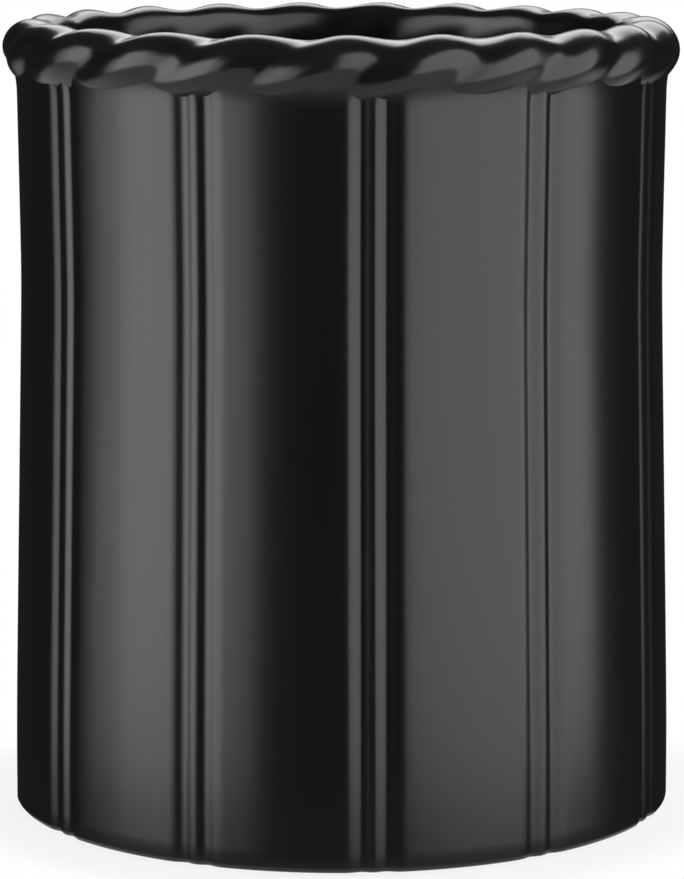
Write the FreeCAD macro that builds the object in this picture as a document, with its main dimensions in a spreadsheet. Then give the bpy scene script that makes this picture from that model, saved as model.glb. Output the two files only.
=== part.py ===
import FreeCAD, Part
import math
import os
import Sketcher

# Utensil crock in black-glazed stoneware: a drawn-in wall with twelve pairs of upright flutes,
# a floor and a bare foot ring let into its lower end, and a rim of two twisted clay strands.
# The origin is the middle of the foot, +Z is up and the front looks along -Y.

Vector = FreeCAD.Vector
UP = Vector(0, 0, 1)
SKETCH_UP = Vector(0, 1, 0)
SKETCH_POINTS = ("edge", "start", "end", "centre")
START, END, CENTRE = (SKETCH_POINTS.index(name) for name in ("start", "end", "centre"))
# A sketch counts its own two axes down from -1
SKETCH_AXES = ("level", "upright")
LEVEL_AXIS, UPRIGHT_AXIS = (-1 - SKETCH_AXES.index(name) for name in ("level", "upright"))
ORIGIN = (LEVEL_AXIS, START)

SIZES = (
    ("overall_height", 178.0, "foot to the top of the rope rim"),
    ("base_radius", 74.95, "outside of the wall at the foot"),
    ("waist_draw", 2.55, "how far the waist is drawn in from the base"),
    ("waist_height", 118.0, "narrowest place of the wall above the foot"),
    ("neck_flare", 0.4, "how far the wall leans out again from the waist to the rope"),
    ("wall_thickness", 7.7, "wall at the neck"),
    ("heel_bevel", 1.2, "bevel of the wall's lower outside edge"),
    ("foot_lift", 0.8, "glazed wall's lower edge above the table"),
    ("floor_thickness", 7.0, "floor in the middle"),
    ("corner_fill", 8.0, "clay pressed into the corner of floor and wall"),
    ("fill_lip", 0.8, "upper edge of the corner's fill"),
    ("recess_depth", 3.0, "hollow under the floor, within the foot ring"),
    ("foot_width", 7.0, "foot ring from side to side"),
    ("foot_bevel", 0.8, "bevel of the foot ring's lower edges"),
    ("flute_pairs", 12, "pairs of flutes round the wall"),
    ("flute_radius", 7.0, "hollow of one flute"),
    ("flute_depth", 0.55, "flute below the wall's face"),
    ("flute_pitch", 5.15, "between the two flutes of a pair"),
    ("flute_turn", 5.4, "degrees from the front to a pair of flutes"),
    ("flute_overrun", 1.0, "flute tool beyond the wall's face and lower end"),
    ("strand_radius", 5.25, "rounding of one strand of the rope"),
    ("strand_offset", 1.75, "strand's centre from the middle of the rope"),
    ("strand_turns", 11, "turns of each strand round the rim"),
    ("strand_runs", 8, "straight runs in one turn of a strand"),
    ("strand_sides", 18, "sides of a strand's section"),
    ("rope_turn", 0.9, "degrees from the front to a lobe's crest"),
    ("seat_slope", 25.0, "degrees of the two slopes that cradle the rope"),
    ("joint_gap", 0.1, "slip joint between two pieces"),
)

# Reach of the block that halves a strand, as a share of the rope's radius
BLOCK_SHARE = 1.5
# How far a corner may lie from a cut and still belong to it, as a share of the slip joint
CUT_SHARE = 0.001

WAIST_RADIUS = "(sizes.base_radius - sizes.waist_draw)"
NECK_RADIUS = f"({WAIST_RADIUS} + sizes.neck_flare)"
BORE_RADIUS = f"({NECK_RADIUS} - sizes.wall_thickness)"
INSERT_RADIUS = f"({BORE_RADIUS} - sizes.joint_gap)"
FLOOR_TOP = "(sizes.recess_depth + sizes.floor_thickness)"
ROPE_RADIUS = "(sizes.strand_offset + sizes.strand_radius)"
ROPE_RING = f"({NECK_RADIUS} - sizes.wall_thickness / 2)"
ROPE_HEIGHT = f"(sizes.overall_height - {ROPE_RADIUS})"
VALLEY_DEPTH = f"(({ROPE_RADIUS} + sizes.joint_gap) / cos(sizes.seat_slope * 1 deg))"

doc = FreeCAD.newDocument("utensil_crock")
sheet = doc.addObject("Spreadsheet::Sheet", "sizes")
for row, (alias, size, meaning) in enumerate(SIZES, start=1):
    sheet.set(f"A{row}", alias)
    sheet.set(f"B{row}", str(size))
    sheet.set(f"C{row}", meaning)
    sheet.setAlias(f"B{row}", alias)
doc.recompute()

waist_radius = sheet.base_radius - sheet.waist_draw
neck_radius = waist_radius + sheet.neck_flare
bore_radius = neck_radius - sheet.wall_thickness
insert_radius = bore_radius - sheet.joint_gap
floor_top = sheet.recess_depth + sheet.floor_thickness
rope_radius = sheet.strand_offset + sheet.strand_radius
rope_ring = neck_radius - sheet.wall_thickness / 2
rope_height = sheet.overall_height - rope_radius


def origin_feature(body, role):
    """The body's own plane or axis with this role."""
    return next(feature for feature in body.Origin.OriginFeatures if feature.Role == role)


def new_sketch(body, name, support, mode="FlatFace"):
    """An empty sketch on an origin plane of the body, or square to the start of a path."""
    sketch = body.newObject("Sketcher::SketchObject", name)
    sketch.AttachmentSupport = [support]
    sketch.MapMode = mode
    return sketch


def pin(sketch, kind, geometry, point, formula):
    """Bind a point's distance from the sketch origin, along one axis, to the sheet."""
    place = sketch.getPoint(geometry, point)
    value = place.x if kind == "DistanceX" else place.y
    index = sketch.addConstraint(Sketcher.Constraint(kind, *ORIGIN, geometry, point, value))
    sketch.setExpression(f"Constraints[{index}]", formula)


def pin_radius(sketch, geometry, formula):
    """Bind an arc's radius to the sheet."""
    radius = sketch.Geometry[geometry].Radius
    index = sketch.addConstraint(Sketcher.Constraint("Radius", geometry, radius))
    sketch.setExpression(f"Constraints[{index}]", formula)


def pin_angle(sketch, line, formula):
    """Bind a line's direction, in degrees from level, to the sheet."""
    direction = sketch.Geometry[line].EndPoint - sketch.Geometry[line].StartPoint
    angle = math.atan2(direction.y, direction.x) % (2 * math.pi)
    index = sketch.addConstraint(Sketcher.Constraint("Angle", line, angle))
    sketch.setExpression(f"Constraints[{index}]", formula)


def join(sketch, first, first_point, second, second_point, kind="Coincident"):
    """Join two ends, touching or tangent."""
    sketch.addConstraint(Sketcher.Constraint(kind, first, first_point, second, second_point))


def add_line(sketch, begin, finish):
    """A straight piece of an outline, from two (x, y) pairs."""
    return sketch.addGeometry(Part.LineSegment(Vector(*begin, 0), Vector(*finish, 0)))


def add_arc(sketch, centre, radius, begin, finish):
    """An arc of an outline, anticlockwise between two angles in radians."""
    circle = Part.Circle(Vector(*centre, 0), UP, radius)
    return sketch.addGeometry(Part.ArcOfCircle(circle, begin, finish))


def revolve(body, sketch):
    """Turn an outline once round the upright axis."""
    feature = body.newObject("PartDesign::Revolution", f"{body.Name}_turned")
    feature.Profile = sketch
    feature.ReferenceAxis = (origin_feature(body, "Z_Axis"), [""])
    feature.Angle = 360
    return feature


def draw_outside(sketch, low, high):
    """Outside of the wall in section: a taper in to the waist and a slight flare out to the rope.

    Returns the taper and the flare, whose free ends lie at the heights low and high.
    """
    taper_lean = sheet.waist_draw / sheet.waist_height
    flare_lean = sheet.neck_flare / (rope_height - sheet.waist_height)
    waist = (waist_radius, sheet.waist_height)
    taper = add_line(sketch, (sheet.base_radius - low * taper_lean, low), waist)
    flare = add_line(sketch, waist, (waist_radius + (high - sheet.waist_height) * flare_lean, high))
    base = sketch.addGeometry(Part.Point(Vector(sheet.base_radius, 0, 0)), True)
    neck = sketch.addGeometry(Part.Point(Vector(neck_radius, rope_height, 0)), True)
    join(sketch, taper, END, flare, START)
    sketch.addConstraint(Sketcher.Constraint("PointOnObject", base, START, LEVEL_AXIS))
    sketch.addConstraint(Sketcher.Constraint("PointOnObject", base, START, taper))
    sketch.addConstraint(Sketcher.Constraint("PointOnObject", neck, START, flare))
    pin(sketch, "DistanceX", base, START, "sizes.base_radius")
    pin(sketch, "DistanceX", taper, END, WAIST_RADIUS)
    pin(sketch, "DistanceY", taper, END, "sizes.waist_height")
    pin(sketch, "DistanceX", neck, START, NECK_RADIUS)
    pin(sketch, "DistanceY", neck, START, ROPE_HEIGHT)
    return taper, flare


def draw_wall(sketch):
    """Section of the wall, its upper edge a shallow trough that cradles the rope."""
    slope = math.radians(sheet.seat_slope)
    valley = (rope_ring, rope_height - (rope_radius + sheet.joint_gap) / math.cos(slope))
    brink_height = valley[1] + sheet.wall_thickness / 2 * math.tan(slope)
    heel_top = sheet.foot_lift + sheet.heel_bevel
    taper, flare = draw_outside(sketch, heel_top, brink_height)
    outer_slope = add_line(sketch, (neck_radius, brink_height), valley)
    inner_slope = add_line(sketch, valley, (bore_radius, brink_height))
    bore = add_line(sketch, (bore_radius, brink_height), (bore_radius, sheet.foot_lift))
    heel_inside = (sheet.base_radius - sheet.heel_bevel, sheet.foot_lift)
    under = add_line(sketch, (bore_radius, sheet.foot_lift), heel_inside)
    heel = add_line(sketch, heel_inside, (sheet.base_radius, heel_top))
    join(sketch, flare, END, outer_slope, START)
    outline = (outer_slope, inner_slope, bore, under, heel, taper)
    for first, second in zip(outline, outline[1:]):
        join(sketch, first, END, second, START)
    sketch.addConstraint(Sketcher.Constraint("Vertical", bore))
    sketch.addConstraint(Sketcher.Constraint("Horizontal", under))
    pin(sketch, "DistanceX", outer_slope, END, ROPE_RING)
    pin(sketch, "DistanceY", outer_slope, END, f"{ROPE_HEIGHT} - {VALLEY_DEPTH}")
    pin_angle(sketch, outer_slope, "180 deg + sizes.seat_slope * 1 deg")
    pin_angle(sketch, inner_slope, "180 deg - sizes.seat_slope * 1 deg")
    pin(sketch, "DistanceX", bore, END, BORE_RADIUS)
    pin(sketch, "DistanceY", bore, END, "sizes.foot_lift")
    pin(sketch, "DistanceX", heel, START, "sizes.base_radius - sizes.heel_bevel")
    pin(sketch, "DistanceY", heel, END, "sizes.foot_lift + sizes.heel_bevel")


def draw_flute_pair(sketch):
    """Two shallow hollows side by side, closed outside the wall's face, which is the sketch's level axis."""
    side = sheet.flute_pitch / 2
    middle = sheet.flute_radius - sheet.flute_depth
    ridge_angle = math.asin(side / sheet.flute_radius)
    rim_angle = math.acos((middle - sheet.flute_overrun) / sheet.flute_radius)
    down = 3 * math.pi / 2
    left = add_arc(sketch, (-side, middle), sheet.flute_radius, down - rim_angle, down + ridge_angle)
    right = add_arc(sketch, (side, middle), sheet.flute_radius, down - ridge_angle, down + rim_angle)
    half_width = side + sheet.flute_radius * math.sin(rim_angle)
    closing = add_line(sketch, (half_width, sheet.flute_overrun), (-half_width, sheet.flute_overrun))
    outline = (left, right, closing)
    for first, second in zip(outline, outline[1:] + outline[:1]):
        join(sketch, first, END, second, START)
    sketch.addConstraint(Sketcher.Constraint("Horizontal", closing))
    pin(sketch, "DistanceY", closing, START, "sizes.flute_overrun")
    for arc, sign in ((left, "-"), (right, "")):
        pin_radius(sketch, arc, "sizes.flute_radius")
        pin(sketch, "DistanceX", arc, CENTRE, f"{sign}sizes.flute_pitch / 2")
        pin(sketch, "DistanceY", arc, CENTRE, "sizes.flute_radius - sizes.flute_depth")


def make_wall():
    """The thrown wall, its flutes drawn down the outside from the rope to the heel.

    The section is turned half a pair from the flutes, so that its seam lies in a plain panel.
    """
    body = doc.addObject("PartDesign::Body", "wall")
    section = new_sketch(body, "wall_section", (origin_feature(body, "XZ_Plane"), ""))
    section.AttachmentOffset = FreeCAD.Placement(Vector(), FreeCAD.Rotation(SKETCH_UP, 180 / sheet.flute_pairs))
    section.setExpression(".AttachmentOffset.Rotation.Angle", "180 / sizes.flute_pairs")
    draw_wall(section)
    turned = revolve(body, section)
    path = new_sketch(body, "flute_path", (origin_feature(body, "XZ_Plane"), ""))
    taper, flare = draw_outside(path, -sheet.flute_overrun, rope_height + sheet.flute_overrun)
    pin(path, "DistanceY", taper, START, "-sizes.flute_overrun")
    pin(path, "DistanceY", flare, END, f"{ROPE_HEIGHT} + sizes.flute_overrun")
    doc.recompute()
    profile = new_sketch(body, "flute_pair", (path, "Edge1"), "NormalToEdge")
    draw_flute_pair(profile)
    doc.recompute()
    pair = body.newObject("PartDesign::SubtractivePipe", "drawn_flutes")
    pair.Profile = profile
    pair.Transition = "Right corner"
    pair.Spine = (path, [f"Edge{number + 1}" for number in range(len(path.Shape.Edges))])
    doc.recompute()
    pattern = body.newObject("PartDesign::PolarPattern", "flutes_round_wall")
    pattern.Originals = [pair]
    pattern.Axis = (origin_feature(body, "Z_Axis"), [""])
    pattern.Angle = 360
    pattern.Occurrences = int(sheet.flute_pairs)
    pattern.setExpression("Occurrences", "sizes.flute_pairs")
    body.Tip = pattern
    body.Placement = FreeCAD.Placement(Vector(), FreeCAD.Rotation(UP, sheet.flute_turn - 90))
    body.setExpression(".Placement.Rotation.Angle", "sizes.flute_turn - 90")
    doc.recompute()
    if not body.Shape.Volume < pair.Shape.Volume < turned.Shape.Volume:
        raise RuntimeError("the flutes cut nothing from the wall")
    return body


def draw_closed(sketch, corners):
    """A closed outline of straight lines, returned in the order of the corners they start from."""
    lines = [add_line(sketch, *ends) for ends in zip(corners, corners[1:] + corners[:1])]
    for first, second in zip(lines, lines[1:] + lines[:1]):
        join(sketch, first, END, second, START)
    return lines


def make_floor():
    """The floor slab, with clay pressed into its corner against the wall."""
    body = doc.addObject("PartDesign::Body", "floor")
    sketch = new_sketch(body, "floor_section", (origin_feature(body, "XZ_Plane"), ""))
    fill_top = floor_top + sheet.corner_fill
    fill_edge = insert_radius - sheet.fill_lip
    corners = [
        (0, sheet.recess_depth),
        (insert_radius, sheet.recess_depth),
        (insert_radius, fill_top),
        (fill_edge, fill_top),
        (fill_edge - sheet.corner_fill, floor_top),
        (0, floor_top),
    ]
    under, side, lip, fill, top, middle = draw_closed(sketch, corners)
    for line in (under, lip, top):
        sketch.addConstraint(Sketcher.Constraint("Horizontal", line))
    for line in (side, middle):
        sketch.addConstraint(Sketcher.Constraint("Vertical", line))
    sketch.addConstraint(Sketcher.Constraint("PointOnObject", middle, START, UPRIGHT_AXIS))
    pin(sketch, "DistanceX", side, START, INSERT_RADIUS)
    pin(sketch, "DistanceY", side, START, "sizes.recess_depth")
    pin(sketch, "DistanceX", fill, START, f"{INSERT_RADIUS} - sizes.fill_lip")
    pin(sketch, "DistanceY", fill, START, f"{FLOOR_TOP} + sizes.corner_fill")
    pin(sketch, "DistanceX", fill, END, f"{INSERT_RADIUS} - sizes.fill_lip - sizes.corner_fill")
    pin(sketch, "DistanceY", fill, END, FLOOR_TOP)
    revolve(body, sketch)
    return body


def make_foot_ring():
    """The bare foot ring under the floor's edge, bevelled where it meets the table."""
    body = doc.addObject("PartDesign::Body", "foot_ring")
    sketch = new_sketch(body, "foot_section", (origin_feature(body, "XZ_Plane"), ""))
    inside = insert_radius - sheet.foot_width
    top_height = sheet.recess_depth - sheet.joint_gap
    corners = [
        (inside + sheet.foot_bevel, 0),
        (insert_radius - sheet.foot_bevel, 0),
        (insert_radius, sheet.foot_bevel),
        (insert_radius, top_height),
        (inside, top_height),
        (inside, sheet.foot_bevel),
    ]
    sole, outer_bevel, outer_side, top, inner_side, inner_bevel = draw_closed(sketch, corners)
    for line in (sole, top):
        sketch.addConstraint(Sketcher.Constraint("Horizontal", line))
    for line in (outer_side, inner_side):
        sketch.addConstraint(Sketcher.Constraint("Vertical", line))
    sketch.addConstraint(Sketcher.Constraint("PointOnObject", sole, START, LEVEL_AXIS))
    pin(sketch, "DistanceX", sole, START, f"{INSERT_RADIUS} - sizes.foot_width + sizes.foot_bevel")
    pin(sketch, "DistanceX", sole, END, f"{INSERT_RADIUS} - sizes.foot_bevel")
    pin(sketch, "DistanceX", outer_bevel, END, INSERT_RADIUS)
    pin(sketch, "DistanceY", outer_bevel, END, "sizes.foot_bevel")
    pin(sketch, "DistanceX", inner_bevel, START, f"{INSERT_RADIUS} - sizes.foot_width")
    pin(sketch, "DistanceY", inner_bevel, START, "sizes.foot_bevel")
    pin(sketch, "DistanceY", top, START, "sizes.recess_depth - sizes.joint_gap")
    revolve(body, sketch)
    return body


def rope_point(step, outward, upward):
    """A place in the rope's section, carried round the rim by a number of runs.

    outward and upward are measured from the rope's centre line, which is a level circle.
    """
    around = 2 * math.pi * step / (sheet.strand_turns * sheet.strand_runs)
    reach = rope_ring + outward
    return Vector(reach * math.cos(around), reach * math.sin(around), rope_height + upward)


def strand_lean(step, strand_share):
    """Direction from the rope's centre line to a strand that lies a share of one turn behind the first."""
    return 2 * math.pi * (step / sheet.strand_runs - strand_share)


def twisted_point(step, strand_share, across, along):
    """A place that turns with a strand: across lies towards the strand, along lies on the joint."""
    lean = strand_lean(step, strand_share)
    outward = across * math.cos(lean) - along * math.sin(lean)
    upward = across * math.sin(lean) + along * math.cos(lean)
    return rope_point(step, outward, upward)


def strand_section(step, strand_share):
    """The many-sided round section of a strand, with a circle's area."""
    lean = strand_lean(step, strand_share)
    side_angle = 2 * math.pi / sheet.strand_sides
    reach = sheet.strand_radius * math.sqrt(side_angle / math.sin(side_angle))
    corners = []
    for corner in range(int(sheet.strand_sides)):
        angle = (corner + 0.5) * side_angle
        outward = sheet.strand_offset * math.cos(lean) + reach * math.cos(angle)
        upward = sheet.strand_offset * math.sin(lean) + reach * math.sin(angle)
        corners.append(rope_point(step, outward, upward))
    return Part.makePolygon(corners + corners[:1])


def solid_from(faces):
    """A solid from faces that close a space."""
    shell = Part.Shell(faces)
    shell.sewShape()
    solid = Part.Solid(shell)
    if solid.Volume < 0:
        solid.reverse()
    return solid


def strand_block(strand_share):
    """A twisted block on one strand's side of the joint, a run longer than a turn at both ends."""
    half_gap = sheet.joint_gap / 2
    far = BLOCK_SHARE * rope_radius
    corners = ((half_gap, 0), (half_gap, far), (far, far), (far, -far), (half_gap, -far))
    middle, upper, upper_far, lower_far, lower = range(len(corners))
    steps = range(-1, int(sheet.strand_runs) + 2)
    rows = [[twisted_point(step, strand_share, *corner) for corner in corners] for step in steps]
    faces = [Part.Face(Part.makePolygon(row + row[:1])) for row in (rows[0], rows[-1])]
    sides = ((middle, upper), (middle, lower), (upper, upper_far), (upper_far, lower_far), (lower, lower_far))
    for near_row, far_row in zip(rows, rows[1:]):
        for first, second in sides:
            for triangle in ((near_row[first], near_row[second], far_row[second]),
                             (near_row[first], far_row[second], far_row[first])):
                faces.append(Part.Face(Part.makePolygon(triangle + triangle[:1])))
    return solid_from(faces)


def lies_on_cut(face, turn):
    """Whether all corners of a face lie on the upright plane through the axis at this angle."""
    normal = Vector(-math.sin(turn), math.cos(turn), 0)
    slack = CUT_SHARE * sheet.joint_gap
    return all(abs(corner.Point.dot(normal)) < slack for corner in face.Vertexes)


def strand_shape(strand_share):
    """One strand: a turn lofted and halved along the joint, then repeated round the rim."""
    sections = [strand_section(step, strand_share) for step in range(int(sheet.strand_runs) + 1)]
    turn = Part.makeLoft(sections, True, True).common(strand_block(strand_share))
    turn_angle = 2 * math.pi / sheet.strand_turns
    skins = [face for face in turn.Faces if not lies_on_cut(face, 0) and not lies_on_cut(face, turn_angle)]
    faces = []
    for number in range(int(sheet.strand_turns)):
        for skin in skins:
            copy = skin.copy()
            copy.rotate(Vector(), UP, math.degrees(turn_angle) * number)
            faces.append(copy)
    return solid_from(faces)


def make_strand(label, strand_share):
    """A strand set on its seat, turned so that the first strand's crest lies at the front."""
    strand = doc.addObject("Part::Feature", label)
    strand.Shape = strand_shape(strand_share)
    crest_share = 0.25
    angle = sheet.rope_turn - 90 - 360 / sheet.strand_turns * crest_share
    strand.Placement = FreeCAD.Placement(Vector(), FreeCAD.Rotation(UP, angle))
    return strand


pieces = [
    make_wall(),
    make_floor(),
    make_foot_ring(),
    make_strand("rope_strand_1", 0),
    make_strand("rope_strand_2", 0.5),
]
doc.recompute()

failed = [item.Label for item in doc.Objects if {"Invalid", "Error"} & set(item.State)]
for piece in pieces:
    if piece.Shape.isNull() or not piece.Shape.isValid() or len(piece.Shape.Solids) != 1:
        failed.append(piece.Label)
if failed:
    raise RuntimeError(f"not built: {failed}")

os.makedirs("parts", exist_ok=True)
for piece in pieces:
    piece.Shape.exportStep(f"parts/{piece.Label}.step")
    print(f"{piece.Label}: {piece.Shape.Volume:.0f} mm3")
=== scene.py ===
import logging
import math
from dataclasses import astuple, dataclass, field, fields
from enum import Enum
from typing import Any, Union

import bmesh
import bpy
from mathutils import Matrix, Vector


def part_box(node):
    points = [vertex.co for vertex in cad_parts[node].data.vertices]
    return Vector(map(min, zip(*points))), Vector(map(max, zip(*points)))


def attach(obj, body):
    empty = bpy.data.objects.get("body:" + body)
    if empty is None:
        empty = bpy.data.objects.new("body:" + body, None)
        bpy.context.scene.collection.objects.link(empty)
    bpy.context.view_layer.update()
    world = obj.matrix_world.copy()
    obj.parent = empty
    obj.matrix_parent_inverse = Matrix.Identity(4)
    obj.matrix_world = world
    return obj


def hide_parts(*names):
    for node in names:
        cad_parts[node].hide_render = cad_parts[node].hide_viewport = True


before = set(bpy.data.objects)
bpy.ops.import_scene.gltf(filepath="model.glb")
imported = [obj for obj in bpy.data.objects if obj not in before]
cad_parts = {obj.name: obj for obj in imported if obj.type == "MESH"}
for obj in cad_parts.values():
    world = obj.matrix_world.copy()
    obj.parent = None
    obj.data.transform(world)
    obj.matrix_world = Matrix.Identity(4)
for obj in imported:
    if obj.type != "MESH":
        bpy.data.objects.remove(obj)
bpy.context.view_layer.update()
LOG = logging.getLogger("utensil_crock")
MM = 0.001
TURN = 2 * math.pi
# Bearing of the side that the photograph shows, in degrees from the X axis.
FRONT = -90
# What a noise texture gives on average.
NOISE_MEAN = 0.5

Colour = tuple[float, float, float, float]
Span = tuple[float, float]
Point = tuple[float, float]


class Slot(Enum):
    """Material slots, one for each finish."""

    BLACK_GLAZE = "black_glaze"
    BARE_CLAY = "bare_clay"


class Channel(Enum):
    """Attributes that a section carries round the crock."""

    FLUTED = "fluted"
    WEAR = "wear"
    SKIN = "skin"


class Wire:
    """An output of a node. Arithmetic on it adds Math nodes to its tree."""

    def __init__(self, sheet: "NodeSheet", socket: bpy.types.NodeSocket) -> None:
        """Keep the socket and the sheet that it belongs to."""
        self.sheet = sheet
        self.socket = socket

    def __add__(self, other: "Plug") -> "Wire":
        """self + other."""
        return self.sheet.math("ADD", self, other)

    def __radd__(self, other: "Plug") -> "Wire":
        """other + self."""
        return self.sheet.math("ADD", other, self)

    def __sub__(self, other: "Plug") -> "Wire":
        """self - other."""
        return self.sheet.math("SUBTRACT", self, other)

    def __rsub__(self, other: "Plug") -> "Wire":
        """other - self."""
        return self.sheet.math("SUBTRACT", other, self)

    def __mul__(self, other: "Plug") -> "Wire":
        """self * other."""
        return self.sheet.math("MULTIPLY", self, other)

    def __rmul__(self, other: "Plug") -> "Wire":
        """other * self."""
        return self.sheet.math("MULTIPLY", other, self)

    def __truediv__(self, other: "Plug") -> "Wire":
        """self / other."""
        return self.sheet.math("DIVIDE", self, other)

    def __rtruediv__(self, other: "Plug") -> "Wire":
        """other / self."""
        return self.sheet.math("DIVIDE", other, self)

    def bell(self) -> "Wire":
        """exp(-self * self), a soft bump one unit wide."""
        return self.sheet.math("EXPONENT", -1 * self * self)

    def smooth(self, low: float, high: float) -> "Wire":
        """A smooth step from 0 at low to 1 at high."""
        return self.sheet.wire("ShaderNodeMapRange", "Result", {"interpolation_type": "SMOOTHSTEP"},
                               {"Value": self, "From Min": low, "From Max": high})


Plug = Union[Wire, float, int, str, tuple, bpy.types.Material]


class NodeSheet:
    """A node tree, shader or geometry, while it is written."""

    def __init__(self, tree: bpy.types.NodeTree) -> None:
        """Start on an empty tree."""
        self.tree = tree
        tree.nodes.clear()

    def add(self, kind: str, settings: dict[str, Any] | None = None,
            plugs: dict[str | int, Plug] | None = None) -> bpy.types.Node:
        """Add a node of any type.

        Args:
            kind: The node's type name.
            settings: Its properties, set first.
            plugs: Values or wires for its inputs, by name or number.

        Returns:
            The new node.
        """
        node = self.tree.nodes.new(kind)
        for name, value in (settings or {}).items():
            setattr(node, name, value)
        for name, value in (plugs or {}).items():
            socket = node.inputs[name] if isinstance(name, int) else self.find(node.inputs, name)
            if isinstance(value, Wire):
                self.tree.links.new(value.socket, socket)
            else:
                socket.default_value = value
        return node

    @staticmethod
    def find(sockets: Any, name: str) -> bpy.types.NodeSocket:
        """The socket in use with this name."""
        return next(socket for socket in sockets if socket.name == name and socket.enabled)

    def wire(self, kind: str, output: str, settings: dict[str, Any] | None = None,
             plugs: dict[str | int, Plug] | None = None) -> Wire:
        """Add a node and take one of its outputs, by name."""
        return Wire(self, self.find(self.add(kind, settings, plugs).outputs, output))

    def math(self, operation: str, *values: Plug) -> Wire:
        """Add a Math node on these values, in order."""
        return self.wire("ShaderNodeMath", "Value", {"operation": operation}, dict(enumerate(values)))

    def split(self, vector: Wire) -> tuple[Wire, Wire, Wire]:
        """The three parts of a vector."""
        node = self.add("ShaderNodeSeparateXYZ", None, {"Vector": vector})
        return tuple(Wire(self, output) for output in node.outputs)

    def mix(self, share: Plug, first: Plug, second: Plug) -> Wire:
        """Blend two colours. A share of 1 is all of the second."""
        return self.wire("ShaderNodeMix", "Result", {"data_type": "RGBA"},
                         {"Factor": share, "A": first, "B": second})

    def noise(self, place: Wire, scale: float, detail: float) -> Wire:
        """Cloudy noise on a place."""
        return self.wire("ShaderNodeTexNoise", "Fac", None,
                         {"Vector": place, "Scale": scale, "Detail": detail})

    def bump(self, height: Wire) -> Wire:
        """Normal of a surface that is raised by a height in metres."""
        return self.wire("ShaderNodeBump", "Normal", None,
                         {"Strength": 1.0, "Distance": 1.0, "Height": height})


def new_finish(name: str) -> tuple[bpy.types.Material, NodeSheet]:
    """Start a material.

    Args:
        name: Its name.

    Returns:
        The material and the sheet for its nodes.
    """
    material = bpy.data.materials.new(name)
    material.use_nodes = True
    return material, NodeSheet(material.node_tree)


@dataclass(frozen=True)
class Glaze:
    """Satin black glaze, thinner on crests and sharp edges."""

    slot: Slot = Slot.BLACK_GLAZE
    full: Colour = (0.0045, 0.0045, 0.0048, 1)
    thin: Colour = (0.013, 0.0115, 0.010, 1)
    refraction: float = 1.5
    roughness: float = 0.24
    cloud_swing: float = 0.05
    pinhole_swing: float = 0.04
    cloud_scale: float = 26.0
    cloud_detail: float = 4.0
    pinhole_scale: float = 420.0
    pinhole_detail: float = 3.0
    pinhole_height: float = 0.004 * MM
    sag_scale: float = 60.0
    sag_detail: float = 1.0
    sag_height: float = 0.02 * MM
    wear_least: float = 0.6
    wear_swing: float = 0.8

    def material(self) -> bpy.types.Material:
        """Make the glaze.

        Returns:
            A material on Object coordinates and the wear attribute.
        """
        material, sheet = new_finish(self.slot.value)
        place = sheet.wire("ShaderNodeTexCoord", "Object")
        wear = sheet.wire("ShaderNodeAttribute", "Fac", {"attribute_name": Channel.WEAR.value})
        clouds = sheet.noise(place, self.cloud_scale, self.cloud_detail)
        pinholes = sheet.noise(place, self.pinhole_scale, self.pinhole_detail)
        sags = sheet.noise(place, self.sag_scale, self.sag_detail)
        thinness = sheet.math("MINIMUM", wear * (self.wear_least + self.wear_swing * clouds), 1.0)
        roughness = (self.roughness + self.cloud_swing * (clouds - NOISE_MEAN)
                     + self.pinhole_swing * (pinholes - NOISE_MEAN))
        height = self.pinhole_height * pinholes + self.sag_height * sags
        shader = sheet.wire("ShaderNodeBsdfPrincipled", "BSDF", None, {
            "Base Color": sheet.mix(thinness, self.full, self.thin), "Roughness": roughness,
            "Normal": sheet.bump(height), "IOR": self.refraction})
        sheet.add("ShaderNodeOutputMaterial", None, {"Surface": shader})
        return material


@dataclass(frozen=True)
class BareClay:
    """Fired clay without glaze: warm, dry and finely speckled."""

    slot: Slot = Slot.BARE_CLAY
    body: Colour = (0.40, 0.33, 0.27, 1)
    toasted: Colour = (0.27, 0.20, 0.155, 1)
    speck: Colour = (0.08, 0.06, 0.05, 1)
    roughness: float = 0.86
    grain_swing: float = 0.1
    cloud_scale: float = 40.0
    cloud_detail: float = 4.0
    toasting: Span = (0.35, 0.7)
    grain_scale: float = 900.0
    grain_detail: float = 3.0
    specks: Span = (0.66, 0.74)
    grain_height: float = 0.05 * MM

    def material(self) -> bpy.types.Material:
        """Make the clay.

        Returns:
            A material on Object coordinates.
        """
        material, sheet = new_finish(self.slot.value)
        place = sheet.wire("ShaderNodeTexCoord", "Object")
        clouds = sheet.noise(place, self.cloud_scale, self.cloud_detail)
        grain = sheet.noise(place, self.grain_scale, self.grain_detail)
        warm = sheet.mix(clouds.smooth(*self.toasting), self.body, self.toasted)
        colour = sheet.mix(grain.smooth(*self.specks), warm, self.speck)
        roughness = self.roughness + self.grain_swing * (grain - NOISE_MEAN)
        shader = sheet.wire("ShaderNodeBsdfPrincipled", "BSDF", None, {
            "Base Color": colour, "Roughness": roughness, "Normal": sheet.bump(self.grain_height * grain)})
        sheet.add("ShaderNodeOutputMaterial", None, {"Surface": shader})
        return material


@dataclass
class Corner:
    """A corner of a section, in metres: distance from the axis, height and rounding."""

    out: float
    up: float
    rounding: float


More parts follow.
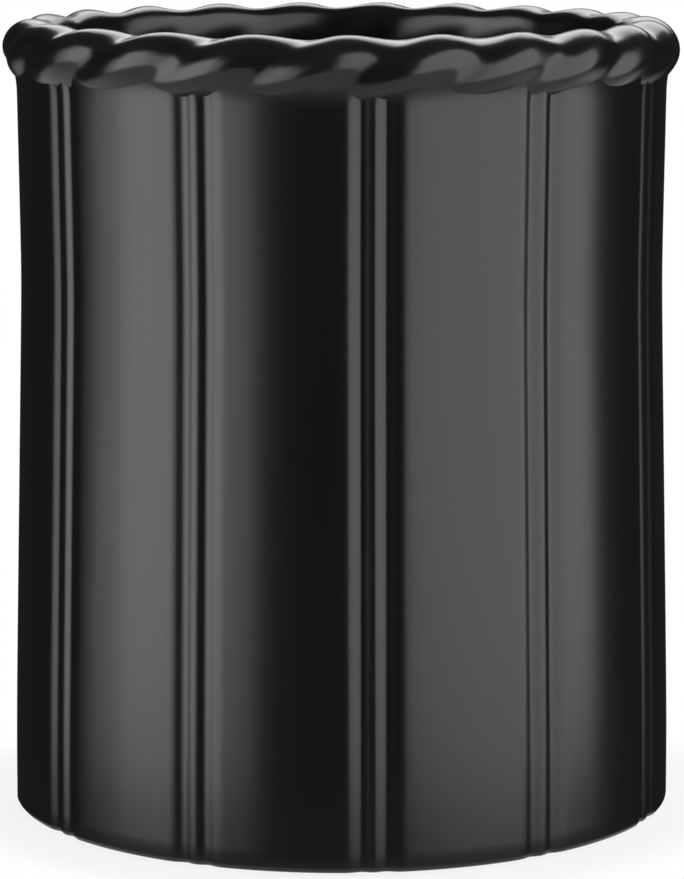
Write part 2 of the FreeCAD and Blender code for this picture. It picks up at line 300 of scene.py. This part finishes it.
@dataclass
class Section:
    """Outline that is turned round the axis, with what its points carry."""

    points: list[Point]
    closed: bool = True
    channels: dict[Channel, list[float]] = field(default_factory=dict)

    def sides(self) -> int:
        """Number of sides between the points. An open outline has one less."""
        return len(self.points) - (0 if self.closed else 1)

    def mesh(self, name: str) -> bpy.types.Mesh:
        """The outline as edges in the XZ plane, its channels as point attributes.

        Args:
            name: Name of the mesh.

        Returns:
            A mesh of points in turning order.
        """
        mesh = bpy.data.meshes.new(name)
        count = len(self.points)
        edges = [(i, (i + 1) % count) for i in range(self.sides())]
        mesh.from_pydata([(out, 0, up) for out, up in self.points], edges, [])
        for channel in Channel:
            values = self.channels.get(channel, [0.0] * count)
            mesh.attributes.new(channel.value, "FLOAT", "POINT").data.foreach_set("value", values)
        return mesh


def evenly(begin: float, finish: float, steps: int) -> list[float]:
    """steps + 1 values, evenly from begin to finish."""
    return [begin + (finish - begin) * i / steps for i in range(steps + 1)]


def arc_points(centre: Point, radius: float, begin: float, finish: float, steps: int) -> list[Point]:
    """Points along an arc.

    Args:
        centre: Middle of the arc.
        radius: Its radius.
        begin: Angle of the first point, in radians.
        finish: Angle of the last point.
        steps: Number of chords.

    Returns:
        steps + 1 points.
    """
    return [(centre[0] + radius * math.cos(angle), centre[1] + radius * math.sin(angle))
            for angle in evenly(begin, finish, steps)]


def round_corners(corners: list[Corner], steps: int) -> list[Point]:
    """Round each corner of a closed outline.

    Args:
        corners: The outline's corners, in order.
        steps: Chords in each rounding.

    Returns:
        The rounded outline.
    """
    points: list[Point] = []
    for i, corner in enumerate(corners):
        here = Vector((corner.out, corner.up))
        before, after = corners[i - 1], corners[(i + 1) % len(corners)]
        back = (Vector((before.out, before.up)) - here).normalized()
        ahead = (Vector((after.out, after.up)) - here).normalized()
        half = back.angle(ahead) / 2
        middle = here + (back + ahead).normalized() * corner.rounding / math.sin(half)
        first = here + back * corner.rounding / math.tan(half) - middle
        sweep = first.angle_signed(here + ahead * corner.rounding / math.tan(half) - middle)
        start = math.atan2(first.y, first.x)
        points += arc_points(middle.to_tuple(), corner.rounding, start, start - sweep, steps)
    return points


@dataclass(frozen=True)
class Turning:
    """How a section is turned into a solid. Lengths are metres and angles radians."""

    columns: int
    start_angle: float = 0.0
    ring_radius: float = 0.0
    ring_height: float = 0.0
    twist_turns: int = 0
    twist_wander: float = 0.0
    wander_angle: float = 0.0
    lay: float = 0.0
    level_width: float = 1.0
    level_height: float = 1.0
    level_angle: float = 0.0
    level_share: float = 0.0
    level_square: float = 0.0
    drift: float = 0.0
    drift_angle: float = 0.0
    flute_pairs: int = 1
    flute_pitch: float = 0.0
    flute_depth: float = 0.0
    flute_width: float = 1.0
    crowding: float = 0.0


class TurnedForm:
    """Node tree that turns a section round the upright axis, with flutes cut in or a twist on the way."""

    SOCKETS = {int: "NodeSocketInt", float: "NodeSocketFloat"}
    HALF_GRID = 0.5
    HALF_BAY = 0.5
    ELLIPSE_POWER = 2
    HIDDEN_FADE = (-0.9, 0.3)
    RIDGE_WIDTH = 0.6
    RIDGE_WEAR = 0.3
    WELD = 0.001 * MM
    CREASE = math.radians(50)

    def __init__(self) -> None:
        """Write the tree once. Every turned piece shares it."""
        self.tree = bpy.data.node_groups.new("turned_form", "GeometryNodeTree")
        self.sheet = NodeSheet(self.tree)
        self.identifiers: dict[str, str] = {}
        self.declare("Geometry", "NodeSocketGeometry")
        self.declare("rows", "NodeSocketInt")
        for size in fields(Turning):
            self.declare(size.name, self.SOCKETS[size.type])
        self.declare("material", "NodeSocketMaterial")
        self.tree.interface.new_socket("Geometry", in_out="OUTPUT", socket_type="NodeSocketGeometry")
        self.entry = self.sheet.add("NodeGroupInput")
        self.write()

    def declare(self, name: str, kind: str) -> None:
        """Add a named input to the tree."""
        socket = self.tree.interface.new_socket(name, in_out="INPUT", socket_type=kind)
        self.identifiers[name] = socket.identifier

    def given(self, name: str) -> Wire:
        """A named input of the tree."""
        return Wire(self.sheet, self.entry.outputs[name])

    def position(self) -> Wire:
        """Place of a point, on the grid or on the section."""
        return self.sheet.wire("GeometryNodeInputPosition", "Position")

    def carried(self, value: Wire, kind: str, row: Wire) -> Wire:
        """What the section's point at this row holds.

        Args:
            value: Field on the section.
            kind: Its data type.
            row: Number of the point.

        Returns:
            The field on the turned surface.
        """
        return self.sheet.wire("GeometryNodeSampleIndex", "Value", {"data_type": kind, "domain": "POINT"},
                               {"Geometry": self.given("Geometry"), "Value": value, "Index": row})

    def channel(self, channel: Channel, row: Wire) -> Wire:
        """One of the section's channels, by row."""
        named = self.sheet.wire("GeometryNodeInputNamedAttribute", "Attribute", {"data_type": "FLOAT"},
                                {"Name": channel.value})
        return self.carried(named, "FLOAT", row)

    def row_at(self, along: Wire) -> Wire:
        """Number of the section's point at a row of the grid.

        Args:
            along: Place of the row, from 0 to 1.

        Returns:
            The number. The last row of a closed section meets its first point again.
        """
        count = self.sheet.wire("GeometryNodeAttributeDomainSize", "Point Count", None,
                                {"Geometry": self.given("Geometry")})
        step = self.sheet.math("ROUND", along * self.given("rows"))
        return self.sheet.wire("FunctionNodeFloatToInt", "Integer", {"rounding_mode": "ROUND"},
                               {"Float": self.sheet.math("MODULO", step, count)})

    def crowded(self, across: Wire, reach: Wire) -> tuple[Wire, Wire]:
        """Spread the grid's columns round the axis, closer together near the flutes.

        Args:
            across: Place of the column, from 0 to 1.
            reach: Distance from the axis.

        Returns:
            The angle round the axis, and the way round from the middle of the nearest pair of flutes.
        """
        crowding, bay_angle = self.given("crowding"), TURN / self.given("flute_pairs")
        bays = across * self.given("flute_pairs")
        bay = self.sheet.math("WRAP", bays, self.HALF_BAY, -self.HALF_BAY)
        spread = bay * (1 - crowding + crowding * (1 / self.HALF_BAY ** 2) * bay * bay)
        return (bays - bay + spread) * bay_angle, reach * spread * bay_angle

    def flutes(self, aside: Wire) -> Wire:
        """Share of the full depth that a pair of flutes has, this far aside of its middle."""
        half_pitch, width = self.given("flute_pitch") / 2, self.given("flute_width")
        return ((aside + half_pitch) / width).bell() + ((aside - half_pitch) / width).bell()

    def twisted(self, around: Wire, azimuth: Wire, reach: Wire, rise: Wire) -> tuple[Wire, Wire]:
        """Turn the section about its own middle on its way round, with a slow wander.

        Args:
            around: Angle from the start of the twist.
            azimuth: Angle round the axis.
            reach: Distance of the section's point from its middle, outwards.
            rise: The same upwards.

        Returns:
            Both distances after the twist.
        """
        wander = self.given("twist_wander") * self.sheet.math("COSINE", azimuth - self.given("wander_angle"))
        lean = around * self.given("twist_turns") + wander
        cosine, sine = self.sheet.math("COSINE", lean), self.sheet.math("SINE", lean)
        return reach * cosine - rise * sine, reach * sine + rise * cosine

    def levelled(self, facing: Wire, skin: Wire) -> Wire:
        """Smooth the hidden side of a rope, where its lobes are pressed on the wall and wiped.

        Args:
            facing: Angle of a point about the middle of the rope.
            skin: Its distance from there.

        Returns:
            Scale for that distance, 1 where the rope is left as it is.
        """
        sheet, given = self.sheet, self.given
        hidden = sheet.math("COSINE", facing - given("level_angle")).smooth(*self.HIDDEN_FADE)
        side, top = sheet.math("COSINE", facing), sheet.math("SINE", facing)
        power = self.ELLIPSE_POWER + given("level_square") * sheet.math("LESS_THAN", side, 0.0)
        wide = sheet.math("POWER", sheet.math("ABSOLUTE", side) / given("level_width"), power)
        high = sheet.math("POWER", sheet.math("ABSOLUTE", top) / given("level_height"), power)
        level = sheet.math("POWER", wide + high, -1 / power)
        return 1 + hidden * given("level_share") * (level / skin - 1)

    def finished(self, place: Wire, wear: Wire) -> Wire:
        """Make the grid the skin of the piece.

        Args:
            place: Where each point of the grid goes.
            wear: How thin the glaze is there.

        Returns:
            The welded and shaded skin, with its material.
        """
        sheet, given = self.sheet, self.given
        skin = sheet.wire("GeometryNodeMeshGrid", "Mesh", None, {
            "Size X": 2 * self.HALF_GRID, "Size Y": 2 * self.HALF_GRID,
            "Vertices X": given("columns") + 1, "Vertices Y": given("rows") + 1})
        skin = sheet.wire("GeometryNodeStoreNamedAttribute", "Geometry",
                          {"data_type": "FLOAT", "domain": "POINT"},
                          {"Geometry": skin, "Name": Channel.WEAR.value, "Value": wear})
        skin = sheet.wire("GeometryNodeSetPosition", "Geometry", None, {"Geometry": skin, "Position": place})
        skin = sheet.wire("GeometryNodeMergeByDistance", "Geometry", None,
                          {"Geometry": skin, "Distance": self.WELD})
        skin = sheet.wire("GeometryNodeSetShadeSmooth", "Geometry", None, {"Geometry": skin})
        bend = sheet.wire("GeometryNodeInputMeshEdgeAngle", "Unsigned Angle")
        crease = sheet.math("GREATER_THAN", bend, self.CREASE)
        skin = sheet.wire("GeometryNodeSetShadeSmooth", "Geometry", {"domain": "EDGE"},
                          {"Geometry": skin, "Selection": crease, "Shade Smooth": False})
        skin = sheet.wire("GeometryNodeRealizeInstances", "Geometry", None, {"Geometry": skin})
        return sheet.wire("GeometryNodeSetMaterial", "Geometry", None,
                          {"Geometry": skin, "Material": given("material")})

    def write(self) -> None:
        """Write the nodes: section point, flutes, drift, twist, turn, wear and finish."""
        sheet, given = self.sheet, self.given
        across, along, _ = sheet.split(self.position())
        row = self.row_at(along + self.HALF_GRID)
        reach, _, rise = sheet.split(self.carried(self.position(), "FLOAT_VECTOR", row))
        around, aside = self.crowded(across + self.HALF_GRID, reach)
        fluted = self.channel(Channel.FLUTED, row)
        reach = reach - fluted * given("flute_depth") * self.flutes(aside)

        even = around + given("start_angle")
        azimuth = even + given("drift") * sheet.math("SINE", even - given("drift_angle"))
        sideways, upwards = self.twisted(around, azimuth, reach, rise)
        facing = sheet.math("ARCTAN2", upwards, sideways)
        scale = self.levelled(facing, self.channel(Channel.SKIN, row))
        out = given("ring_radius") + sideways * scale
        up = given("ring_height") + upwards * scale
        swept = azimuth + given("lay") * sheet.math("COSINE", facing)
        place = sheet.wire("ShaderNodeCombineXYZ", "Vector", None, {
            "X": out * sheet.math("COSINE", swept), "Y": out * sheet.math("SINE", swept), "Z": up})

        ridge = fluted * (aside / (given("flute_width") * self.RIDGE_WIDTH)).bell()
        wear = self.channel(Channel.WEAR, row) + self.RIDGE_WEAR * ridge
        sheet.add("NodeGroupOutput", None, {"Geometry": self.finished(place, wear)})

    def make(self, name: str, section: Section, turning: Turning,
             material: bpy.types.Material) -> bpy.types.Object:
        """Turn a section into a finished mesh.

        Args:
            name: Name of the piece.
            section: Its outline.
            turning: How it is turned.
            material: Its finish.

        Returns:
            The piece, a plain closed mesh with its faces outwards.
        """
        piece = bpy.data.objects.new(name, section.mesh(name))
        bpy.context.scene.collection.objects.link(piece)
        modifier = piece.modifiers.new("turned_form", "NODES")
        modifier.node_group = self.tree
        modifier[self.identifiers["rows"]] = section.sides()
        for size, value in zip(fields(Turning), astuple(turning)):
            modifier[self.identifiers[size.name]] = value
        modifier[self.identifiers["material"]] = material
        depsgraph = bpy.context.evaluated_depsgraph_get()
        mesh = bpy.data.meshes.new_from_object(piece.evaluated_get(depsgraph), depsgraph=depsgraph)
        piece.modifiers.clear()
        piece.data = mesh
        self.face_outwards(mesh)
        return piece

    @staticmethod
    def face_outwards(mesh: bpy.types.Mesh) -> None:
        """Turn the faces of a closed mesh outwards.

        Args:
            mesh: The mesh, with all its faces wound one way.
        """
        form = bmesh.new()
        form.from_mesh(mesh)
        if form.calc_volume(signed=True) < 0:
            bmesh.ops.reverse_faces(form, faces=form.faces)
        form.to_mesh(mesh)
        form.free()


@dataclass
class Crock:
    """What the pieces share: the turning tree and the two finishes."""

    form: TurnedForm
    glaze: bpy.types.Material
    clay: bpy.types.Material

    def settle(self, piece: bpy.types.Object, node: str, slot: Slot) -> None:
        """Let a piece stand for its solid and ride with the crock.

        Args:
            piece: The finished piece.
            node: The solid that it stands for.
            slot: Its material slot. Not used.
        """
        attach(piece, "root")
        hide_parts(node)
        LOG.info("%s stands for %s, %d faces", piece.name, node, len(piece.data.polygons))


@dataclass
class FlutedWall:
    """The wall: full at the belly, drawn in to a waist, with pairs of flutes down the outside."""

    crock: Crock
    belly_radius: float = 74.72 * MM
    taper_radius: float = 75.14 * MM
    taper_lean: float = 0.0238
    waist_radius: float = 72.25 * MM
    waist_height: float = 121.3 * MM
    neck_lean: float = 0.0133
    softness: float = 0.12 * MM
    bore_radius: float = 65.1 * MM
    heel_rounding: float = 1.3 * MM
    heel_wear: float = 0.5
    rope_lap: float = 4.0 * MM
    lute_height: float = 3.0 * MM
    lute_reach: float = 1.0 * MM
    flute_top: float = 170.0 * MM
    flute_fade: float = 3.0 * MM
    heel_steps: int = 6
    outer_steps: int = 48
    top_steps: int = 18
    bore_steps: int = 24
    columns: int = 576
    flute_pairs: int = 12
    flute_pitch: float = 5.15 * MM
    flute_depth: float = 0.82 * MM
    flute_width: float = 1.9 * MM
    flute_angle: float = math.radians(FRONT + 5.4)
    flute_drift: float = math.radians(1.0)
    drift_angle: float = math.radians(FRONT)
    crowding: float = 0.62

    def brink(self) -> float:
        """Height of the wall's upper edge, which lies inside the rope."""
        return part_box("wall")[1].z + self.rope_lap

    def radius(self, height: float) -> float:
        """Outside of the wall: belly, taper and neck run softly together, with clay luted in at the top.

        Args:
            height: Height above the table.

        Returns:
            The distance from the axis.
        """
        taper = self.taper_radius - self.taper_lean * height
        neck = self.waist_radius + self.neck_lean * (height - self.waist_height)
        lower = (self.belly_radius + taper) / 2 - math.hypot((self.belly_radius - taper) / 2, self.softness)
        body = (lower + neck) / 2 + math.hypot((lower - neck) / 2, self.softness)
        lute = max(0.0, 1 - (self.brink() - height) / (self.lute_height + self.rope_lap))
        return body + self.lute_reach * lute ** 2

    def flute_share(self, height: float) -> float:
        """Share of their depth that the flutes have at a height: they run out softly under the rope."""
        share = min(1.0, max(0.0, (self.flute_top - height) / self.flute_fade))
        return share * share * (3 - 2 * share)

    def section(self) -> Section:
        """The wall's outline, from the heel up, over the brink inside the rope and down the bore.

        Returns:
            The section, fluted along its outside and worn at the heel.
        """
        foot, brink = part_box("wall")[0].z, self.brink()
        heel_top = foot + self.heel_rounding
        shoulder = brink - 2 * self.lute_height
        heights = evenly(heel_top, shoulder, self.outer_steps)[:-1] + evenly(shoulder, brink, self.top_steps)
        heel_middle = (self.radius(heel_top) - self.heel_rounding, heel_top)
        heel = arc_points(heel_middle, self.heel_rounding, -math.pi / 2, 0, self.heel_steps)[:-1]
        outside = [(self.radius(height), height) for height in heights]
        bore = [(self.bore_radius, height) for height in evenly(brink, foot, self.bore_steps)]
        fluted = [1.0] * len(heel) + [self.flute_share(height) for height in heights] + [0.0] * len(bore)
        wear = [self.heel_wear] * len(heel) + [0.0] * len(outside + bore)
        return Section(heel + outside + bore, channels={Channel.FLUTED: fluted, Channel.WEAR: wear})

    def build(self) -> bpy.types.Object:
        """Make the wall.

        Returns:
            The finished piece.
        """
        turning = Turning(
            columns=self.columns, start_angle=self.flute_angle, crowding=self.crowding,
            drift=self.flute_drift, drift_angle=self.drift_angle,
            flute_pairs=self.flute_pairs, flute_pitch=self.flute_pitch,
            flute_depth=self.flute_depth, flute_width=self.flute_width)
        piece = self.crock.form.make("fluted_wall", self.section(), turning, self.crock.glaze)
        self.crock.settle(piece, "wall", Slot.BLACK_GLAZE)
        return piece


@dataclass
class RopeRim:
    """The rim: two rolls of clay twisted together and laid round the top of the wall."""

    crock: Crock
    reach: float = 7.0 * MM
    strand_offset: float = 2.1 * MM
    joint_fill: float = 1.2 * MM
    strand_turns: int = 11
    ring_radius: float = 68.95 * MM
    level_width: float = 5.8 * MM
    level_height: float = 7.3 * MM
    level_angle: float = math.radians(-142)
    level_share: float = 0.8
    level_square: float = 1.8
    crest_angle: float = math.radians(FRONT - 3.5)
    wander: float = math.radians(50.7)
    wander_angle: float = math.radians(96)
    lay: float = math.radians(3.0)
    round_steps: int = 48
    lobe_columns: int = 28
    crest_wear: float = 0.35
    crest_narrowness: int = 8

    def skin(self, angle: float) -> float:
        """Distance from the middle of the rope to its skin, two round strands with a softly filled joint.

        Args:
            angle: Angle from the strand's crest.

        Returns:
            The distance.
        """
        strand_radius = self.reach - math.hypot(self.strand_offset, self.joint_fill)
        across = math.sqrt(strand_radius ** 2 - (self.strand_offset * math.sin(angle)) ** 2)
        return across + math.hypot(self.strand_offset * math.cos(angle), self.joint_fill)

    def section(self) -> Section:
        """One strand's outline, measured from the middle of the rope: round outside, flat at the joint.

        Returns:
            The section, worn along the crest.
        """
        angles = evenly(-math.pi / 2, math.pi / 2, self.round_steps)
        skin = [self.skin(angle) for angle in angles]
        points = [(radius * math.cos(angle), radius * math.sin(angle)) for radius, angle in zip(skin, angles)]
        wear = [self.crest_wear * math.cos(angle) ** self.crest_narrowness for angle in angles]
        return Section(points, channels={Channel.SKIN: skin, Channel.WEAR: wear})

    def build(self) -> list[bpy.types.Object]:
        """Make both strands, half a twist apart.

        Returns:
            The two finished pieces.
        """
        section = self.section()
        quarter_twist = TURN / self.strand_turns / 4
        pieces = []
        for number, lead in ((1, -quarter_twist), (2, quarter_twist)):
            node = f"rope_strand_{number}"
            turning = Turning(
                columns=self.lobe_columns * 2 * self.strand_turns, start_angle=self.crest_angle + lead,
                ring_radius=self.ring_radius, ring_height=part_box(node)[1].z - self.reach,
                twist_turns=self.strand_turns, twist_wander=self.wander, wander_angle=self.wander_angle,
                lay=self.lay, level_width=self.level_width, level_height=self.level_height,
                level_angle=self.level_angle, level_share=self.level_share, level_square=self.level_square)
            piece = self.crock.form.make(f"twisted_strand_{number}", section, turning, self.crock.glaze)
            self.crock.settle(piece, node, Slot.BLACK_GLAZE)
            pieces.append(piece)
        return pieces


@dataclass
class Base:
    """The floor with its rounded inside corner, and the bare foot ring under it."""

    crock: Crock
    floor_thickness: float = 7.0 * MM
    cove_radius: float = 8.0 * MM
    cove_lip: float = 0.8 * MM
    edge_rounding: float = 0.3 * MM
    foot_width: float = 7.0 * MM
    foot_rounding: float = 0.9 * MM
    cove_steps: int = 12
    rounding_steps: int = 6
    columns: int = 192

    def floor_section(self) -> Section:
        """The floor's outline, from the axis below, round the edge and back to the axis above.

        Returns:
            The section, open along the axis.
        """
        low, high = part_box("floor")
        edge = high.x
        cove_middle = (edge - self.cove_lip - self.cove_radius,
                       low.z + self.floor_thickness + self.cove_radius)
        cove = arc_points(cove_middle, self.cove_radius, 0, -math.pi / 2, self.cove_steps)
        top = cove[-1][1]
        below = [(0, low.z), (edge / 2, low.z), (edge, low.z), (edge, high.z)]
        return Section(below + cove + [(edge / 2, top), (0, top)], closed=False)

    def foot_section(self) -> Section:
        """The foot ring's outline, rounded where it meets the table.

        Returns:
            The section.
        """
        low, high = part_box("foot_ring")
        inside = high.x - self.foot_width
        sole = [Corner(inside, low.z, self.foot_rounding), Corner(high.x, low.z, self.foot_rounding)]
        joint = [Corner(high.x, high.z, self.edge_rounding), Corner(inside, high.z, self.edge_rounding)]
        return Section(round_corners(sole + joint, self.rounding_steps))

    def build(self) -> list[bpy.types.Object]:
        """Make the floor and the foot ring.

        Returns:
            The two finished pieces.
        """
        turning = Turning(columns=self.columns)
        floor = self.crock.form.make("crock_floor", self.floor_section(), turning, self.crock.glaze)
        self.crock.settle(floor, "floor", Slot.BLACK_GLAZE)
        foot = self.crock.form.make("bare_foot_ring", self.foot_section(), turning, self.crock.clay)
        self.crock.settle(foot, "foot_ring", Slot.BARE_CLAY)
        return [floor, foot]


@dataclass(frozen=True)
class Softbox:
    """A lamp panel that faces the crock. Bearings are degrees, from the camera's side to the right."""

    name: str
    bearing: float
    distance: float
    width: float
    height: float
    level: float
    strength: float

    def place(self) -> bpy.types.Object:
        """Hang the panel.

        Returns:
            The lamp.
        """
        lamp = bpy.data.lights.new(self.name, "AREA")
        lamp.shape = "RECTANGLE"
        lamp.size = self.width
        lamp.size_y = self.height
        lamp.energy = self.strength * math.pi * self.width * self.height
        panel = bpy.data.objects.new(self.name, lamp)
        bpy.context.scene.collection.objects.link(panel)
        bearing = math.radians(self.bearing)
        spot = Vector((math.sin(bearing) * self.distance, -math.cos(bearing) * self.distance, self.level))
        inward = Vector((-spot.x, -spot.y, 0))
        panel.visible_camera = False
        panel.matrix_world = Matrix.Translation(spot) @ inward.to_track_quat("-Z", "Y").to_matrix().to_4x4()
        return panel


@dataclass
class Studio:
    """Pale floor, white background, lamp panels and the camera."""

    floor_radius: float = 0.105
    floor_sides: int = 96
    floor_tone: Colour = (0.86, 0.86, 0.86, 1)
    floor_white: float = 0.85
    shadow_radius: float = 0.08
    shadow_end: float = 0.95
    room_tone: Colour = (1, 1, 1, 1)
    room_light: float = 0.12
    backdrop: Span = (0.984, 0.999)
    ground: Span = (0.3, 0.5)
    ground_light: float = 0.7
    ceiling: Span = (0.3, 0.9)
    ceiling_light: float = 0.08
    wall_light: float = 0.02
    camera_place: tuple[float, float, float] = (0.0002, -0.9011, 0.2263)
    camera_pitch: float = math.radians(90 - 9.07)
    lens: float = 164.26
    panels: tuple[Softbox, ...] = (
        Softbox("left_edge_panel", bearing=-87.5, distance=0.95, width=0.21, height=0.71,
                level=0.165, strength=1.5),
        Softbox("left_panel", bearing=-62.0, distance=0.9, width=0.61, height=0.94,
                level=0.28, strength=3.15),
        Softbox("left_side_panel", bearing=-36.5, distance=1.1, width=0.29, height=0.80,
                level=0.18, strength=1.8),
        Softbox("right_panel", bearing=57.5, distance=0.9, width=1.43, height=1.3,
                level=0.445, strength=2.25),
        Softbox("back_panel", bearing=174, distance=0.9, width=0.85, height=0.78,
                level=0.86, strength=3.0),
    )

    @staticmethod
    def seen(sheet: NodeSheet) -> tuple[Wire, Wire]:
        """Tell apart what a ray is for.

        Args:
            sheet: The sheet of a floor or background.

        Returns:
            Camera rays, and mirror or glass rays, as two masks.
        """
        path = sheet.add("ShaderNodeLightPath")
        camera = Wire(sheet, path.outputs["Is Camera Ray"])
        glossy = Wire(sheet, path.outputs["Is Glossy Ray"])
        through = Wire(sheet, path.outputs["Is Transmission Ray"])
        return camera, sheet.math("MAXIMUM", glossy, through)

    def floor_finish(self) -> bpy.types.Material:
        """Make the floor's finish, white to the camera but for the crock's shadow.

        Returns:
            A material on Object coordinates.
        """
        material, sheet = new_finish("pale_floor")
        camera, _ = self.seen(sheet)
        matt = sheet.wire("ShaderNodeBsdfDiffuse", "BSDF", None, {"Color": self.floor_tone})
        white = sheet.wire("ShaderNodeEmission", "Emission", None, {"Color": self.room_tone, "Strength": 1.0})
        place = sheet.wire("ShaderNodeTexCoord", "Object")
        away = sheet.wire("ShaderNodeVectorMath", "Value", {"operation": "LENGTH"}, {0: place})
        clear = away.smooth(self.shadow_radius, self.shadow_end * self.floor_radius)
        white_share = self.floor_white + (1 - self.floor_white) * clear
        surface = sheet.wire("ShaderNodeMixShader", "Shader", None,
                             {0: camera * white_share, 1: matt, 2: white})
        sheet.add("ShaderNodeOutputMaterial", None, {"Surface": surface})
        return material

    def floor(self) -> bpy.types.Object:
        """Lay the floor.

        Returns:
            The floor.
        """
        form = bmesh.new()
        bmesh.ops.create_circle(form, cap_ends=True, segments=self.floor_sides, radius=self.floor_radius)
        mesh = bpy.data.meshes.new("pale_floor")
        form.to_mesh(mesh)
        form.free()
        mesh.materials.append(self.floor_finish())
        floor = bpy.data.objects.new("pale_floor", mesh)
        bpy.context.scene.collection.objects.link(floor)
        floor.visible_glossy = False
        return floor

    def room(self) -> None:
        """Fill the background: white behind the crock, a dim room in front of it."""
        world = bpy.data.worlds.new("studio")
        bpy.context.scene.world = world
        world.use_nodes = True
        sheet = NodeSheet(world.node_tree)
        camera, glossy = self.seen(sheet)
        _, back, upward = sheet.split(sheet.wire("ShaderNodeTexCoord", "Generated"))
        behind = back.smooth(*self.backdrop)
        below = (-1 * upward).smooth(*self.ground)
        above = upward.smooth(*self.ceiling)
        lit = sheet.math("MAXIMUM", behind, self.ground_light * below)
        mirrored = sheet.math("MAXIMUM", lit, self.wall_light + self.ceiling_light * above)
        dim = self.room_light * (1 - glossy) + glossy * mirrored
        strength = sheet.math("MAXIMUM", camera, dim)
        background = sheet.wire("ShaderNodeBackground", "Background", None,
                                {"Color": self.room_tone, "Strength": strength})
        sheet.add("ShaderNodeOutputWorld", None, {"Surface": background})

    def camera(self) -> bpy.types.Object:
        """Set up the camera of the photograph.

        Returns:
            The camera.
        """
        data = bpy.data.cameras.new("photo_camera")
        data.lens = self.lens
        camera = bpy.data.objects.new("photo_camera", data)
        camera.location = self.camera_place
        camera.rotation_euler = (self.camera_pitch, 0, 0)
        bpy.context.scene.collection.objects.link(camera)
        bpy.context.scene.camera = camera
        return camera

    def build(self) -> None:
        """Set the stage."""
        bpy.context.scene.view_settings.view_transform = "Standard"
        self.floor()
        self.room()
        for panel in self.panels:
            panel.place()
        self.camera()


def main() -> None:
    """Build the crock and its studio."""
    logging.basicConfig(level=logging.INFO, format="%(name)s: %(message)s")
    crock = Crock(TurnedForm(), Glaze().material(), BareClay().material())
    FlutedWall(crock).build()
    RopeRim(crock).build()
    Base(crock).build()
    Studio().build()


if __name__ == "__main__":
    main()
